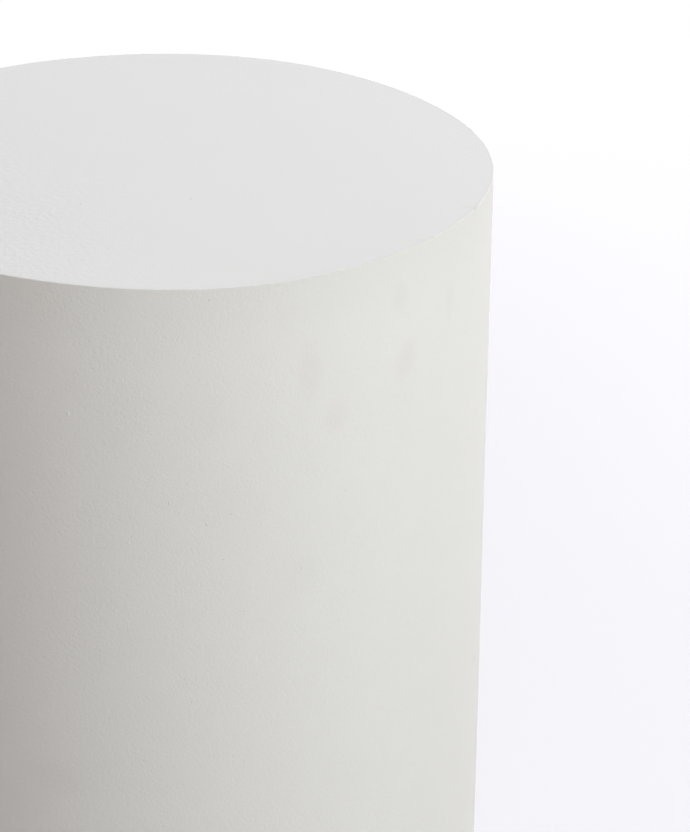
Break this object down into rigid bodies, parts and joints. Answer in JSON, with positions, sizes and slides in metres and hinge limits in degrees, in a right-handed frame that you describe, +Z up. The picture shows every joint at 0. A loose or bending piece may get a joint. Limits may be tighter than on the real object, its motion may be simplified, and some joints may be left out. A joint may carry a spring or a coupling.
{
  "type": "round display column",
  "caption": "Plain round decorative column in matt off-white cast plaster, with a flat top to stand an ornament on, eased rims and a flat underside.",
  "frame": {"origin": "centre of the flat underside, on the surface that the column stands on", "axes": "+Z up along the column's axis, from the underside to the flat top; X and Y are free, because the column is round"},
  "size_m": [0.3, 0.3, 0.8],
  "materials": {
    "off_white_plaster": "matt, fine sandy cast mineral plaster"
  },
  "bodies": {
    "root": {"column": "off_white_plaster"}
  },
  "joints": []
}
